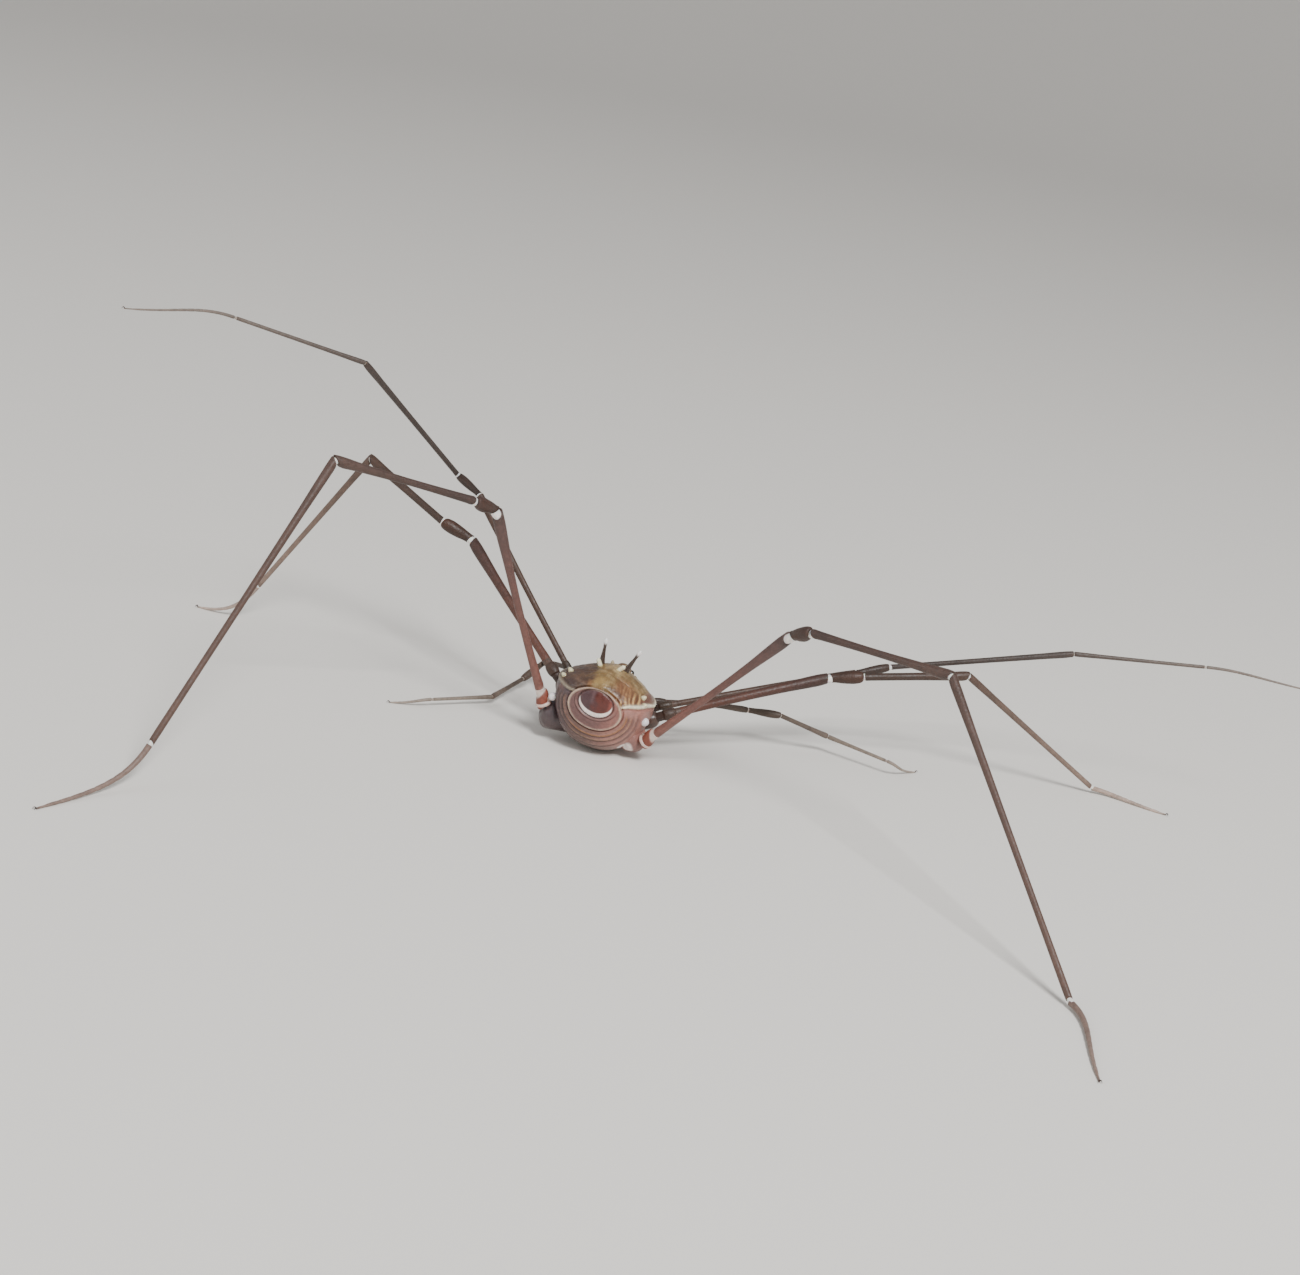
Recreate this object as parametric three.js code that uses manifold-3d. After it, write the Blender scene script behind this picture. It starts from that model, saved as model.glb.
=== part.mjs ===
// A long-legged armoured harvestman, standing on a level floor, at life size.
// Units are millimetres. +Z is up, the animal looks along +Y, and its left side is at -X.
// The second pair of legs is held up as feelers, and the other six feet stand at z = 0.
import * as THREE from "three";
import { mergeVertices } from "three/addons/utils/BufferGeometryUtils.js";
import Module from "manifold-3d";

const wasm = await Module();
wasm.setup();

// Driving sizes
const JOINT_GAP = 0.3; // pale skin that shows between two hard leg segments
const HIP_GAP = 0.4; // the same at the hip, where the two faces are at an angle
const PLATE_GAP = 0.2; // seam between two hard plates of the body
const THINNEST = 0.25; // radius of the thinnest leg segment
const TIP_RADIUS = 0.12;
const LIMB_SIDES = 8;
const BODY_AT = [-6.59, 9.34, 0]; // middle of the body, so that the whole animal is centred on the origin
const BODY_ROLL = THREE.MathUtils.degToRad(7); // the right side sits lower
const ROLL_HEIGHT = 3.8;

// Body sections from tail to head: place along Y, half width, top and bottom
const BODY_SECTIONS = [
  [-4.25, 0.0, 4.3, 4.3],
  [-4.17, 1.2, 5.25, 2.9],
  [-3.9, 2.2, 5.72, 1.7],
  [-3.3, 3.0, 6.1, 0.8],
  [-2.4, 3.5, 6.35, 0.3],
  [-1.2, 3.65, 6.45, 0.15],
  [0.2, 3.3, 6.12, 0.2],
  [1.4, 2.5, 5.42, 0.6],
  [2.6, 2.15, 4.85, 1.3],
  [3.5, 1.6, 4.55, 2.4],
  [3.9, 0.0, 3.8, 3.8],
];
const BACK_POWER = 1.38; // 2 is an ellipse, and less slopes more like a roof
const BELLY_POWER = 2.25; // more than 2 is squarer
const BODY_RINGS = 26;
const BODY_SIDES = 40;
const SHIELD_EDGE = 4.5; // height of the back shield's lower edge

// Rear plates, as ellipses seen from behind: height of the middle, half width and half height
const RING = { middle: 3.89, wide: 2.05, high: 1.53, deep: -3.2 };
const LID = { middle: 4.32, wide: 1.28, high: 0.96 };
const BELLY_RIDGES = [
  { middle: 3.85, wide: 2.4, high: 1.95 },
  { middle: 3.75, wide: 2.7, high: 2.3 },
  { middle: 3.65, wide: 2.95, high: 2.7 },
];
const RIDGE_RADIUS = 0.16;

// Spines and knobs on the back, each one of a left and right pair: place, length, root and tip radius,
// and how far each leans outward and forward, in degrees
const BACK_SPINES = [
  { x: 0.82, y: -0.8, length: 1.9, root: 0.25, tip: 0.1, lean: 16, forward: 12 },
  { x: 0.6, y: -1.6, length: 0.6, root: 0.22, tip: 0.16, lean: 42, forward: 0 },
  { x: 0.5, y: 0.7, length: 0.35, root: 0.22, tip: 0.15, lean: 10, forward: 0 },
  { x: 2.83, y: -2.15, length: 0.3, root: 0.22, tip: 0.15, lean: 45, forward: 0 },
  { x: 3.14, y: -2.55, length: 0.25, root: 0.2, tip: 0.14, lean: 55, forward: 0 },
];

// Coxae: the fixed first leg pieces, from a place under the body to the hip
const COXAE = {
  1: { inner: [0.55, 2.3, 1.6], hip: [2.55, 2.5, 3.3], slim: 0.38, stout: 0.46 },
  2: { inner: [0.6, 1.35, 1.05], hip: [3.3, 1.3, 3.5], slim: 0.42, stout: 0.52 },
  3: { inner: [0.65, 0.35, 0.85], hip: [4.0, -0.1, 3.55], slim: 0.46, stout: 0.66 },
  4: { inner: [0.95, -0.7, 0.95], hip: [4.2, -2.4, 2.95], slim: 0.72, stout: 1.2 },
};

// Mouth parts: the pincers and the folded palps, by their bends and the radius at each
const MOUTH_PARTS = {
  chelicera: {
    bends: [[0.45, 4.2, 3.7], [0.5, 4.85, 3.65], [0.42, 5.05, 2.85], [0.3, 4.95, 2.2]],
    radii: [0.28, 0.36, 0.34, 0.14],
  },
  palp: {
    bends: [[1.3, 3.8, 2.9], [1.6, 4.5, 3.6], [1.4, 5.35, 3.2], [1.1, 5.65, 2.4], [0.75, 5.6, 1.8]],
    radii: [0.26, 0.34, 0.38, 0.3, 0.13],
  },
};

// Leg segments: the length and the stoutest radius of each
const SEGMENTS = ["femur", "patella", "tibia", "metatarsus", "tarsus"];
const LEG_SIZES = {
  1: { lengths: [7.5, 2.5, 4.4, 4.9, 3.5], stout: [0.28, 0.33, 0.25, 0.25, 0.25] },
  2: { lengths: [15.2, 2.7, 13.8, 9.8, 8.6], stout: [0.31, 0.37, 0.26, 0.25, 0.25] },
  3: { lengths: [12.8, 2.6, 8.0, 14.2, 6.3], stout: [0.42, 0.52, 0.33, 0.27, 0.25] },
  4: { lengths: [14.0, 2.6, 11.0, 22.3, 9.5], stout: [0.44, 0.6, 0.36, 0.3, 0.26] },
};

// The stance: for each segment its compass angle from +X and its rise, both in degrees.
// A tarsus has the compass angle along which its tip lies, and a feeler's tarsus a rise as well.
const STANCE = {
  left_1: [[130.2, -14.9], [248, -22], [258, -5], [225, -0.5], [205]],
  left_2: [[158.2, 43.7], [154, 17.5], [241.2, 40.7], [216.3, 14.1], [229.5, 2.4]],
  left_3: [[151.6, 32.7], [191.5, 23.1], [163.5, 21.3], [185.3, -57.5], [176]],
  left_4: [[205.8, 68.6], [245.3, 21.8], [223.8, 13.8], [-111.7, -52.2], [-112.9]],
  right_1: [[31.4, -2.2], [9.1, 1.5], [31.9, -19.8], [-12.3, -4.1], [44.7]],
  right_2: [[29.8, 14.3], [30.4, 14.4], [15.7, 13.8], [12.2, 4.6], [5.8, -0.9]],
  right_3: [[31.3, 16.9], [17.7, 10.5], [23.1, 7.4], [25.8, -34.1], [-6]],
  right_4: [[-18.2, 48.8], [-46.3, 24.9], [-22.8, 3.8], [-44.6, -40.5], [-73.2]],
};

// Solids and meshes
function solidOf(geometry) {
  const bare = geometry.clone();
  for (const name of Object.keys(bare.attributes)) {
    if (name !== "position") bare.deleteAttribute(name);
  }
  const merged = mergeVertices(bare, 1e-4);
  const mesh = new wasm.Mesh({
    numProp: 3,
    vertProperties: merged.attributes.position.array,
    triVerts: new Uint32Array(merged.index.array),
  });
  const solid = new wasm.Manifold(mesh);
  if (solid.volume() < 0) throw new Error("a shape is inside out");
  return solid;
}

function largest(solid) {
  return solid.decompose().reduce((a, b) => (b.volume() > a.volume() ? b : a));
}

function geometryOf(solid) {
  const mesh = solid.getMesh();
  const geometry = new THREE.BufferGeometry();
  geometry.setAttribute("position", new THREE.BufferAttribute(mesh.vertProperties, 3));
  geometry.setIndex(new THREE.BufferAttribute(mesh.triVerts, 1));
  return geometry;
}

const harvestman = new THREE.Group();
const body = new THREE.Group();
body.position.set(...BODY_AT);
harvestman.add(body);

// The body leans about a line at ROLL_HEIGHT, so its pieces hang in a turned group below that line.
const leaning = new THREE.Group();
leaning.position.set(0, 0, ROLL_HEIGHT);
leaning.rotation.y = BODY_ROLL;
body.add(leaning);

const finish = (colour, roughness) =>
  new THREE.MeshStandardMaterial({ color: colour, roughness, metalness: 0 });
const SHIELD_FINISH = finish(0x7a5436, 0.45);
const REAR_FINISH = finish(0x86564c, 0.4);
const BELLY_FINISH = finish(0x7d5a54, 0.4);
const COXA_FINISH = finish(0x8a5f5c, 0.4);
const EYE_FINISH = finish(0x0c0908, 0.1);
const MOUTH_FINISH = finish(0x6b4a34, 0.45);
const LEG_FINISHES = {
  1: finish(0x4b3429, 0.45),
  2: finish(0x453026, 0.45),
  3: finish(0x70432f, 0.45),
  4: finish(0x80504a, 0.45),
};

function addMesh(parent, name, geometry, material, settle = (x, y, z) => [x, y, z]) {
  const position = geometry.attributes.position;
  for (let i = 0; i < position.count; i += 1) {
    position.setXYZ(i, ...settle(position.getX(i), position.getY(i), position.getZ(i)));
  }
  geometry.computeVertexNormals();
  const mesh = new THREE.Mesh(geometry, material);
  mesh.name = name;
  parent.add(mesh);
  return mesh;
}

function addPlate(name, solid, material) {
  const offset = (x, y, z) => [x, y, z - ROLL_HEIGHT];
  return addMesh(leaning, name, geometryOf(largest(solid)), material, offset);
}

// A limb is a turned profile, drawn out along a path: profile holds [share of length, radius].
function limb(path, profile, sides = LIMB_SIDES) {
  const shares = profile.map(([share]) => share);
  const ends = [[shares[0], 0], ...profile, [shares.at(-1), 0]];
  const turned = new THREE.LatheGeometry(
    ends.map(([share, radius]) => new THREE.Vector2(radius, share)),
    sides,
  );
  const STEPS = 60;
  const frames = path.computeFrenetFrames(STEPS, false);
  const position = turned.attributes.position;
  const point = new THREE.Vector3();
  for (let i = 0; i < position.count; i += 1) {
    const share = THREE.MathUtils.clamp(position.getY(i), 0, 1);
    const step = Math.round(share * STEPS);
    path.getPointAt(share, point);
    point.addScaledVector(frames.binormals[step], position.getX(i));
    point.addScaledVector(frames.normals[step], position.getZ(i));
    position.setXYZ(i, point.x, point.y, point.z);
  }
  return solidOf(turned);
}

const straight = (from, to) => new THREE.LineCurve3(from, to);

// A smooth row of numbers between the body sections, by Catmull-Rom.
function bodySection(share) {
  const last = BODY_SECTIONS.length - 1;
  const at = share * last;
  const i = Math.min(Math.floor(at), last - 1);
  const t = at - i;
  const row = (k) => BODY_SECTIONS[THREE.MathUtils.clamp(k, 0, last)];
  return BODY_SECTIONS[0].map((_, column) => {
    const [a, b, c, d] = [row(i - 1), row(i), row(i + 1), row(i + 2)].map((r) => r[column]);
    const curve = 2 * b + (c - a) * t + (2 * a - 5 * b + 4 * c - d) * t * t;
    return (curve + (3 * b - a - 3 * c + d) * t * t * t) / 2;
  });
}

// Height where a section is widest: the shield's edge, unless that is close to its top or bottom.
function widestHeight(top, bottom) {
  const spare = 0.3 * (top - bottom);
  return THREE.MathUtils.clamp(SHIELD_EDGE, bottom + spare, top - spare);
}

// One ring of the body: half of a sloping roof above the widest place, and half of a squarish ellipse below.
function bodyRing(share) {
  const [y, wide, top, bottom] = bodySection(share);
  const middle = widestHeight(top, bottom);
  return Array.from({ length: BODY_SIDES }, (_, j) => {
    const angle = (2 * Math.PI * j) / BODY_SIDES;
    const [c, s] = [Math.cos(angle), Math.sin(angle)];
    const power = s > 0 ? BACK_POWER : BELLY_POWER;
    const x = wide * Math.sign(c) * Math.abs(c) ** (2 / power);
    const rise = s > 0 ? top - middle : middle - bottom;
    const z = middle + rise * Math.sign(s) * Math.abs(s) ** (2 / power);
    return [x, y, z];
  });
}

function bodyForm() {
  const rings = Array.from({ length: BODY_RINGS - 1 }, (_, i) => bodyRing((i + 1) / BODY_RINGS));
  const poles = [BODY_SECTIONS[0], BODY_SECTIONS.at(-1)].map(([y, , top]) => [0, y, top]);
  const points = [...rings.flat(), ...poles];
  const tail = points.length - 2;
  const head = points.length - 1;
  const index = [];
  for (let j = 0; j < BODY_SIDES; j += 1) {
    const k = (j + 1) % BODY_SIDES;
    index.push(tail, j, k);
    for (let i = 0; i < rings.length - 1; i += 1) {
      const [a, b] = [i * BODY_SIDES, (i + 1) * BODY_SIDES];
      index.push(a + j, b + j, a + k, a + k, b + j, b + k);
    }
    const last = (rings.length - 1) * BODY_SIDES;
    index.push(head, last + k, last + j);
  }
  const geometry = new THREE.BufferGeometry();
  geometry.setAttribute("position", new THREE.Float32BufferAttribute(points.flat(), 3));
  geometry.setIndex(index);
  return solidOf(geometry);
}

// Height of the body's back at a place seen from above.
function backHeight(x, y) {
  let [low, high] = [0, 1];
  for (let i = 0; i < 30; i += 1) {
    const middle = (low + high) / 2;
    if (bodySection(middle)[0] < y) low = middle;
    else high = middle;
  }
  const [, wide, top] = bodySection(low);
  const share = Math.min(Math.abs(x) / wide, 1) ** BACK_POWER;
  return SHIELD_EDGE + (top - SHIELD_EDGE) * (1 - share) ** (1 / BACK_POWER);
}

// The body's rear face at a place seen from behind: the first section that reaches out to it.
function rearFace(x, z) {
  const inside = (share) => {
    const [, wide, top, bottom] = bodySection(share);
    const middle = widestHeight(top, bottom);
    const rise = z > middle ? top - middle : middle - bottom;
    const power = z > middle ? BACK_POWER : BELLY_POWER;
    return Math.abs(x / wide) ** power + Math.abs((z - middle) / rise) ** power < 1;
  };
  let share = 0.01;
  while (share < 0.5 && !inside(share)) share += 0.002;
  return bodySection(share)[0];
}

// A straight rod with an elliptical section that lies along Y.
function rearRod({ middle, wide, high }, grow, from, to) {
  const rod = new THREE.CylinderGeometry(1, 1, to - from, 32);
  rod.scale(wide + grow, 1, high + grow);
  rod.translate(0, (from + to) / 2, middle);
  return solidOf(rod);
}

function box(low, high) {
  const size = high.map((v, i) => v - low[i]);
  const geometry = new THREE.BoxGeometry(...size);
  geometry.translate(...high.map((v, i) => v - size[i] / 2));
  return solidOf(geometry);
}

// The lid over the vent, the ring of small plates round it, and what is left of the body
const REAR_END = -6;
const whole = bodyForm();
const ringBack = RING.deep - PLATE_GAP;
const plug = whole.intersect(rearRod(RING, 0, REAR_END, ringBack));
const lid = plug.intersect(rearRod(LID, 0, REAR_END, ringBack));
const ring = plug.subtract(rearRod(LID, PLATE_GAP, REAR_END, ringBack + 1));
const trunk = whole.subtract(rearRod(RING, PLATE_GAP, REAR_END, RING.deep));
addPlate("vent_lid", lid, REAR_FINISH);
addPlate("vent_ring", ring, REAR_FINISH);

// Back shield, with its spines and knobs sunk into it
const FAR = 10;
const above = box([-FAR, -FAR, SHIELD_EDGE + PLATE_GAP / 2], [FAR, FAR, FAR]);
const below = box([-FAR, -FAR, -FAR], [FAR, FAR, SHIELD_EDGE - PLATE_GAP / 2]);

function backSpine({ x, y, length, root, tip, lean, forward }, side) {
  const [a, b] = [lean, forward].map(THREE.MathUtils.degToRad);
  const out = new THREE.Vector3(side * Math.sin(a), Math.cos(a) * Math.sin(b), Math.cos(a) * Math.cos(b));
  const foot = new THREE.Vector3(side * x, y, backHeight(x, y));
  const sunk = foot.clone().addScaledVector(out, -root);
  const point = foot.clone().addScaledVector(out, length);
  return limb(straight(sunk, point), [[0, root], [0.3, root], [0.92, tip], [1, tip / 2]]);
}

const pairs = BACK_SPINES.flatMap((spine) => [-1, 1].map((side) => backSpine(spine, side)));
const shield = pairs.reduce((solid, spine) => solid.add(spine), trunk.intersect(above));
addPlate("back_shield", shield, SHIELD_FINISH);

// Eye mound with an eye on either side
const MOUND = { y: 2.35, wide: 0.62, long: 0.42, high: 0.5 };
const EYE = { radius: 0.26, out: 0.62, up: 0.28 };
const moundFoot = backHeight(0, MOUND.y) + PLATE_GAP;
const dome = new THREE.SphereGeometry(1, 16, 10);
dome.scale(MOUND.wide, MOUND.long, MOUND.high);
dome.translate(0, MOUND.y, moundFoot + 0.1);
const eyes = [-1, 1].map((side) => {
  const ball = new THREE.SphereGeometry(EYE.radius, 12, 8);
  ball.translate(side * EYE.out, MOUND.y, moundFoot + EYE.up);
  return { side, solid: solidOf(ball) };
});
const sockets = [-1, 1].map((side) => {
  const ball = new THREE.SphereGeometry(EYE.radius + PLATE_GAP / 2, 12, 8);
  ball.translate(side * EYE.out, MOUND.y, moundFoot + EYE.up);
  return solidOf(ball);
});
const mound = solidOf(dome).intersect(box([-FAR, -FAR, moundFoot], [FAR, FAR, FAR]));
addPlate("eye_mound", sockets.reduce((solid, hole) => solid.subtract(hole), mound), SHIELD_FINISH);
for (const { side, solid } of eyes) {
  addPlate(side < 0 ? "eye_left" : "eye_right", solid, EYE_FINISH);
}

// Coxae under the body, each cut clear of the next, and the belly cut clear of them all
function coxa({ inner, hip, slim, stout }, side, grow) {
  const [from, to] = [inner, hip].map(([x, y, z]) => new THREE.Vector3(side * x, y, z));
  const reach = to.clone().sub(from).normalize().multiplyScalar(grow);
  const path = straight(from.clone().sub(reach), to.clone().add(reach));
  const radii = [0.6 * slim, slim, 0.5 * (slim + stout), stout, stout, 0.62 * stout];
  const shares = [0, 0.1, 0.45, 0.7, 0.85, 1];
  return limb(path, shares.map((share, i) => [share, radii[i] + grow]), 14);
}

let belly = trunk.intersect(below);
for (const side of [-1, 1]) {
  const word = side < 0 ? "left" : "right";
  let taken = null;
  for (const pair of [4, 3, 2, 1]) {
    const grown = coxa(COXAE[pair], side, PLATE_GAP);
    let piece = coxa(COXAE[pair], side, 0).intersect(below);
    if (taken) piece = piece.subtract(taken);
    taken = taken ? taken.add(grown) : grown;
    addPlate(`coxa_${word}_${pair}`, piece, COXA_FINISH);
  }
  belly = belly.subtract(taken);
}

// Raised hind edges of the belly plates, as bows round the lower half of the vent
const BOW_FROM = 195;
const BOW_TO = 345;
const BOW_STEPS = 14;
for (const { middle, wide, high } of BELLY_RIDGES) {
  const points = Array.from({ length: BOW_STEPS + 1 }, (_, i) => {
    const angle = THREE.MathUtils.degToRad(BOW_FROM + ((BOW_TO - BOW_FROM) * i) / BOW_STEPS);
    const [x, z] = [wide * Math.cos(angle), middle + high * Math.sin(angle)];
    return new THREE.Vector3(x, rearFace(x, z) + 0.04, z);
  });
  const bow = new THREE.CatmullRomCurve3(points);
  const even = [0.15, 0.3, 0.4, 0.5, 0.6, 0.7, 0.85].map((share) => [share, RIDGE_RADIUS]);
  belly = belly.add(limb(bow, [[0, RIDGE_RADIUS / 2], ...even, [1, RIDGE_RADIUS / 2]], 6));
}
addPlate("belly", belly, BELLY_FINISH);

// Mouth parts, fused from short tapered pieces
function chain(points, radii) {
  const pieces = points.slice(1).map((point, i) => {
    const [from, to] = [points[i], point].map((p) => new THREE.Vector3(...p));
    const [a, b] = [radii[i], radii[i + 1]];
    return limb(straight(from, to), [[-0.08, 0.5 * a], [0.12, a], [0.88, b], [1.08, 0.5 * b]]);
  });
  return pieces.reduce((solid, piece) => solid.add(piece));
}

for (const side of [-1, 1]) {
  const word = side < 0 ? "left" : "right";
  for (const [name, { bends, radii }] of Object.entries(MOUTH_PARTS)) {
    const points = bends.map(([x, y, z]) => [side * x, y, z]);
    addPlate(`${name}_${word}`, chain(points, radii), MOUTH_FINISH);
  }
}

// Legs
function heading(compass, rise) {
  const [a, b] = [compass, rise].map(THREE.MathUtils.degToRad);
  return new THREE.Vector3(Math.cos(b) * Math.cos(a), Math.cos(b) * Math.sin(a), Math.sin(b));
}

// Segment profiles: share of length against share of the segment's stoutest radius
const PROFILES = {
  patella: [[0, 0.5], [0.12, 0.62], [0.45, 0.9], [0.75, 1], [0.92, 0.85], [1, 0.6]],
  tibia: [[0, 0.72], [0.06, 0.85], [0.5, 0.9], [0.85, 1], [0.97, 1.1], [1, 0.8]],
  metatarsus: [[0, 0.8], [0.03, 1], [0.35, 0.95], [0.7, 0.92], [1, 0.88]],
};

function femurProfile(length, stout) {
  const knob = 0.9 / length; // the short trochanter, a ball before the long femur
  const neck = 0.75 * stout;
  return [
    [0, neck], [0.3 * knob, 1.05 * stout], [0.7 * knob, 1.05 * stout], [knob, neck],
    [1.5 * knob, 0.86 * stout], [0.35, 0.8 * stout], [0.7, 0.9 * stout],
    [0.93, 1.15 * stout], [1, 0.8 * stout],
  ];
}

const STEADY = 0.86; // how much of the coat of the tarsus stays round where it lies on the floor
const floorClamp = (x, y, z) => [x, y, Math.max(z, 0)];

leaning.updateWorldMatrix(true, false);
body.updateWorldMatrix(true, false);
for (const [leg, stance] of Object.entries(STANCE)) {
  const [word, pair] = leg.split("_");
  const side = word === "left" ? -1 : 1;
  const { lengths, stout } = LEG_SIZES[pair];
  const { inner, hip } = COXAE[pair];
  const out = new THREE.Vector3(...hip).sub(new THREE.Vector3(...inner)).normalize();
  const start = new THREE.Vector3(...hip).addScaledVector(out, HIP_GAP);
  let joint = new THREE.Vector3(side * start.x, start.y, start.z - ROLL_HEIGHT);
  joint = leaning.localToWorld(joint);
  SEGMENTS.forEach((segment, i) => {
    const [compass, rise = 0] = stance[i];
    const radius = Math.max(stout[i], THINNEST);
    const name = `${segment}_${leg}`;
    if (segment === "tarsus") {
      const raised = pair === "2";
      const before = heading(...stance[i - 1]);
      const ahead = heading(compass, rise);
      const from = joint.clone().addScaledVector(before, JOINT_GAP / 2);
      const tip = joint.clone().addScaledVector(ahead, lengths[i] * 0.97);
      if (!raised) {
        const fall = joint.z - STEADY * radius;
        const reach = Math.sqrt((0.97 * lengths[i]) ** 2 - fall ** 2);
        tip.copy(joint).addScaledVector(heading(compass, 0), reach);
        tip.z = STEADY * TIP_RADIUS;
      }
      const lead = from.clone().addScaledVector(before, 0.3 * lengths[i]);
      const lie = tip.clone().addScaledVector(raised ? ahead : heading(compass, 0), -0.45 * lengths[i]);
      if (!raised) {
        lead.z = Math.max(lead.z, STEADY * radius);
        lie.z = STEADY * radius;
      }
      const bend = new THREE.CubicBezierCurve3(from, lead, lie, tip);
      const even = [0.03, 0.2, 0.4, 0.6, 0.8].map((share) => [share, radius]);
      const taper = [[0, 0.9 * radius], ...even, [0.92, 0.8 * radius], [1, TIP_RADIUS]];
      addMesh(harvestman, name, geometryOf(limb(bend, taper)), LEG_FINISHES[pair], floorClamp);
      return;
    }
    const ahead = heading(compass, rise);
    const near = i === 0 ? 0 : JOINT_GAP / 2;
    const next = joint.clone().addScaledVector(ahead, lengths[i]);
    const path = straight(
      joint.clone().addScaledVector(ahead, near),
      next.clone().addScaledVector(ahead, -JOINT_GAP / 2),
    );
    const shape = segment === "femur"
      ? femurProfile(lengths[i], radius)
      : PROFILES[segment].map(([share, r]) => [share, r * radius]);
    addMesh(harvestman, name, geometryOf(limb(path, shape)), LEG_FINISHES[pair]);
    joint = next;
  });
}

export default harvestman;
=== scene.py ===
# Life-size museum model of a long-legged armoured harvestman, seen from behind, on a pale studio floor.
import bpy
import numpy as np
from mathutils import Matrix, Vector


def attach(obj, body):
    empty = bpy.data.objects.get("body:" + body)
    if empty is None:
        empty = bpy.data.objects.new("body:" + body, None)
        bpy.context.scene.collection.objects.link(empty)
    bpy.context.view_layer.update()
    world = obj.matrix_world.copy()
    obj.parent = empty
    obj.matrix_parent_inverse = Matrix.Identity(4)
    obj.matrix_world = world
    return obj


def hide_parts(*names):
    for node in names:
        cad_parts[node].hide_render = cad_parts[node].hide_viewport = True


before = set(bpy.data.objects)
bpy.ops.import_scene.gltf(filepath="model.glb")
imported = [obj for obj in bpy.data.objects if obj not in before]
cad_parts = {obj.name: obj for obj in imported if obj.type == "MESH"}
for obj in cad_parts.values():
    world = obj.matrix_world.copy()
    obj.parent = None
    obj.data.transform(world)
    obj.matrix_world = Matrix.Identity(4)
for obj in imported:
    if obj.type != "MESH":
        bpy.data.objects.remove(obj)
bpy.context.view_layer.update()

# Back shield and belly
# The trunk is one shell of fused plates over a belly swollen with eggs. The back shield slopes like a roof
# to a raised cream margin, and the plates round the vent lie in rings. It's hard, waxy, granulated cuticle.
MM = 0.001
BODY_AT = np.array([-6.59, 9.34, 0.0])  # where the body's own origin stands, in mm
BODY_ROLL = np.radians(7.0)  # lean to the animal's right
ROLL_HEIGHT = 3.8
SHIELD_EDGE = 4.5  # height of the margin, where the trunk is widest
EDGE_ROOM = 0.3  # least share of a section's height that lies over and under its widest place
BACK_POWER = 1.38  # fullness of a section's upper half: 1 is a straight roof, 2 an ellipse
BELLY_POWER = 2.25
# From tail to head: place along Y, half width, top and bottom, in mm
BODY_SECTIONS = np.array([
    [-4.25, 0.0, 4.3, 4.3],
    [-4.17, 1.2, 5.25, 2.9],
    [-3.9, 2.2, 5.72, 1.7],
    [-3.3, 3.0, 6.1, 0.8],
    [-2.4, 3.5, 6.35, 0.3],
    [-1.2, 3.65, 6.45, 0.15],
    [0.2, 3.3, 6.12, 0.2],
    [1.4, 2.5, 5.42, 0.6],
    [2.6, 2.15, 4.85, 1.3],
    [3.5, 1.6, 4.55, 2.4],
    [3.9, 0.0, 3.8, 3.8],
])
BODY_SIDES = 300
# Rings from share to share of the table of sections, closer in the rear, which has the fine relief
REAR_RINGS = (0.004, 0.4, 150)
FRONT_RINGS = (0.407, 0.997, 90)


def settle(points):
    """Body points in mm to the row frame in metres: a turn by BODY_ROLL about a line along Y at ROLL_HEIGHT,
    where x becomes x cos + z sin and z becomes z cos - x sin, and then the shift BODY_AT."""
    x, y, z = points[..., 0], points[..., 1], points[..., 2] - ROLL_HEIGHT
    c, s = np.cos(BODY_ROLL), np.sin(BODY_ROLL)
    return (np.stack([x * c + z * s, y, ROLL_HEIGHT - x * s + z * c], -1) + BODY_AT) * MM


def rows_at(table, place):
    """Rows of a table at fractional row numbers, by Catmull-Rom between rows b and c with t from 0 to 1:
    half of 2b + (c - a)t + (2a - 5b + 4c - d)t^2 + (3b - a - 3c + d)t^3."""
    last = len(table) - 1
    place = np.clip(place, 0, last)
    i = np.minimum(place.astype(int), last - 1)
    t = (place - i)[..., None]
    a, b, c, d = (table[np.clip(i + k, 0, last)] for k in (-1, 0, 1, 2))
    return (2 * b + (c - a) * t + (2 * a - 5 * b + 4 * c - d) * t**2 + (3 * b - a - 3 * c + d) * t**3) / 2


def trunk_grid(shares, turns):
    """Rings whose upper half is a sloping roof and lower half a squarish ellipse: x is the half width times
    sin^(2/p), z is the widest height plus the rise times cos^(2/p), with signs kept and p for that half."""
    y, wide, top, bottom = np.moveaxis(rows_at(BODY_SECTIONS, shares * (len(BODY_SECTIONS) - 1)), -1, 0)
    room = EDGE_ROOM * (top - bottom)
    middle = np.clip(SHIELD_EDGE, bottom + room, top - room)
    sin, cos = np.sin(turns), np.cos(turns)
    power = 2 / np.where(cos > 0, BACK_POWER, BELLY_POWER)
    rise = np.where(cos > 0, (top - middle)[:, None], (middle - bottom)[:, None])
    x = wide[:, None] * np.sign(sin) * np.abs(sin) ** power
    z = middle[:, None] + rise * np.sign(cos) * np.abs(cos) ** power
    return np.stack([x, y[:, None] + 0 * x, z], -1)


def outward(grid):
    """Unit normals of a closed tube of rings: the cross product of the step round a ring and the step
    along the rings, taken between neighbours on both sides."""
    around = np.roll(grid, -1, 1) - np.roll(grid, 1, 1)
    along = np.gradient(grid, axis=0)
    normal = np.cross(around, along)
    return normal / (np.linalg.norm(normal, axis=-1, keepdims=True) + 1e-12)


def ridge(distance, width):
    """A soft ridge 1 high: e^-(distance / width)^2."""
    return np.exp(-((distance / width) ** 2))


def relief(distance, lines):
    """Ridges and grooves side by side: the sum of height * ridge(distance - place, width) over the lines."""
    return sum(height * ridge(distance - place, width) for place, width, height in lines)


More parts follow.
